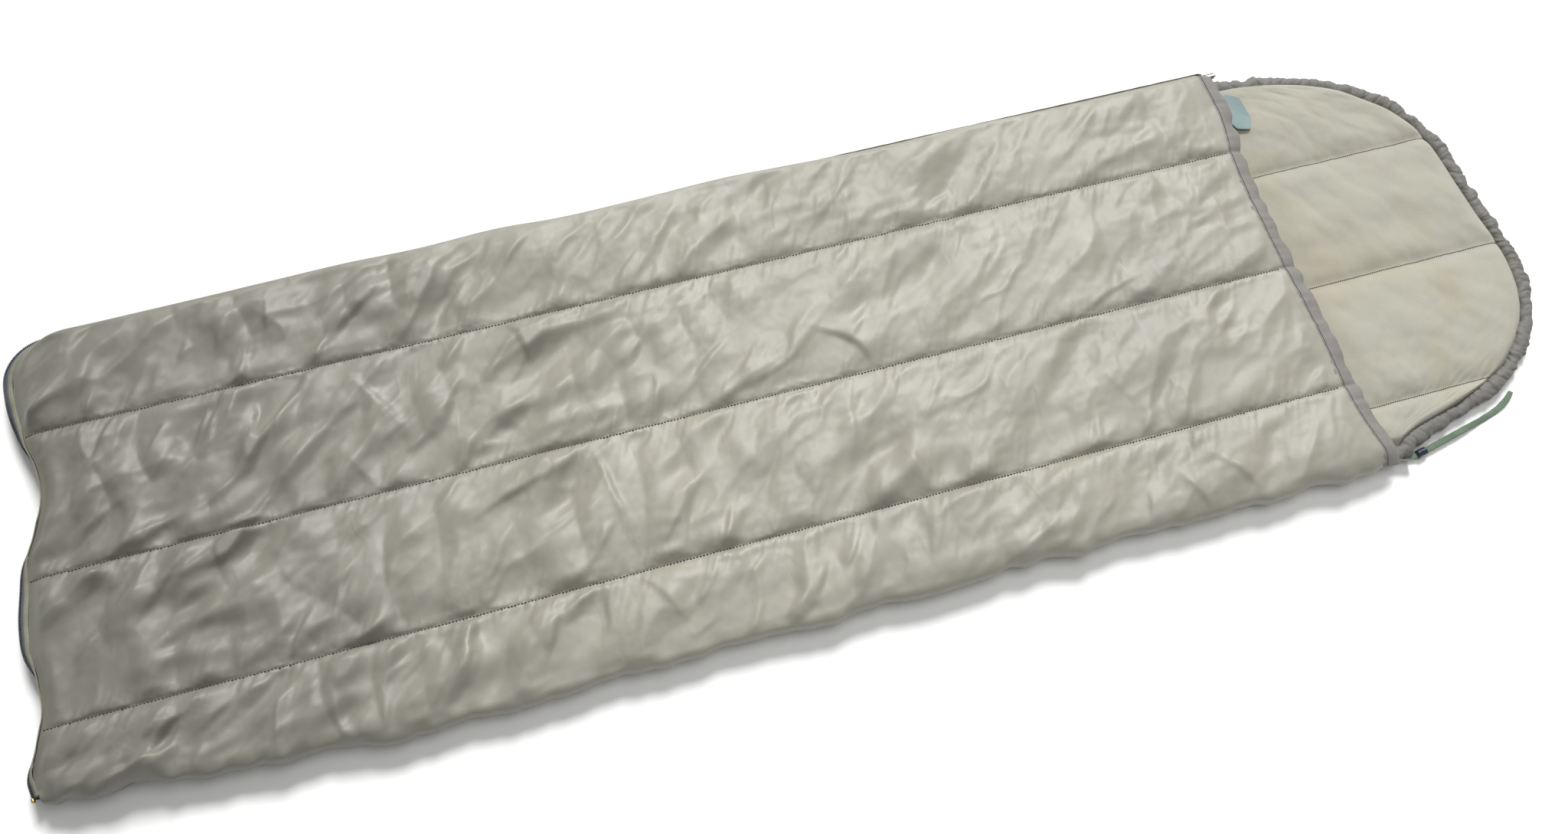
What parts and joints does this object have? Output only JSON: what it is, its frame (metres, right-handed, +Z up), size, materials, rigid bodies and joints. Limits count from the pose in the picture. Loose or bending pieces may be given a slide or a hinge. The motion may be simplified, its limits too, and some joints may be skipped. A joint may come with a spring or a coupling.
{
  "type": "sleeping bag",
  "caption": "Worn quilted envelope sleeping bag lying flat and zipped shut, with a half-round hood, a gathered drawcord rim, a folded mouth hem and a long zip round the side and foot.",
  "frame": {"origin": "on the ground under the middle of the bag's length and width", "axes": "+X from the foot to the hood, +Y to the zip side, -Y to the folded side, +Z up"},
  "size_m": [2.19, 0.7, 0.056],
  "materials": {
    "shell_cloth": "satin taffeta",
    "lining_cloth": "matt cotton blend",
    "fill": "fluffy wadding",
    "thread": "matt",
    "hem_cloth": "satin taffeta",
    "zip_tape": "woven tape",
    "zip_coil": "satin",
    "piping_cloth": "woven tape",
    "stop_brass": "worn",
    "tab_cloth": "matt",
    "cord_webbing": "flat braid",
    "slider_metal": "worn",
    "lock_plastic": "glossy"
  },
  "bodies": {
    "lower_panel": {"lower_shell": "shell_cloth", "lower_fill": "fill", "lower_lining": "lining_cloth", "lower_quilt_seams": "thread", "lower_fold": "shell_cloth", "lower_zip_tape": "zip_tape", "lower_zip_coil": "zip_coil", "lower_piping": "piping_cloth", "zip_bottom_stop": "stop_brass", "zip_top_stop": "stop_brass", "corner_tab": "tab_cloth"},
    "upper_panel": {"upper_shell": "shell_cloth", "upper_fill": "fill", "upper_lining": "lining_cloth", "upper_quilt_seams": "thread", "upper_fold": "shell_cloth", "mouth_hem": "hem_cloth", "hem_stitching": "thread", "upper_zip_tape": "zip_tape", "upper_zip_coil": "zip_coil", "upper_piping": "piping_cloth"},
    "hood": {"hood_shell": "shell_cloth", "hood_fill": "fill", "hood_lining": "lining_cloth", "hood_quilt_seams": "thread", "drawcord_casing": "shell_cloth", "drawcord": "cord_webbing", "drawcord_tail": "cord_webbing"},
    "slider": {"zip_slider": "slider_metal"},
    "pull": {"zip_pull": "slider_metal"},
    "lock": {"cord_lock": "lock_plastic"}
  },
  "joints": [
    {"name": "upper_panel_fold", "type": "hinge", "parent": "lower_panel", "child": "upper_panel", "pos_m": [0, -0.35, 0.028], "axis": [1, 0, 0], "range_deg": [0, 180]},
    {"name": "hood_fold", "type": "hinge", "parent": "lower_panel", "child": "hood", "pos_m": [0.775, 0, 0.0224], "axis": [0, -1, 0], "range_deg": [0, 90]},
    {"name": "zip_slide", "type": "slide", "parent": "lower_panel", "child": "slider", "axis": [-1, 0, 0], "range_m": [0, 1.75]},
    {"name": "zip_pull_turn", "type": "hinge", "parent": "slider", "child": "pull", "pos_m": [0.759, 0.3469, 0.028], "axis": [0, 0, -1], "range_deg": [0, 170]},
    {"name": "cord_lock_slide", "type": "slide", "parent": "hood", "child": "lock", "axis": [0.9773, 0.2118, 0], "range_m": [0, 0.05]}
  ]
}
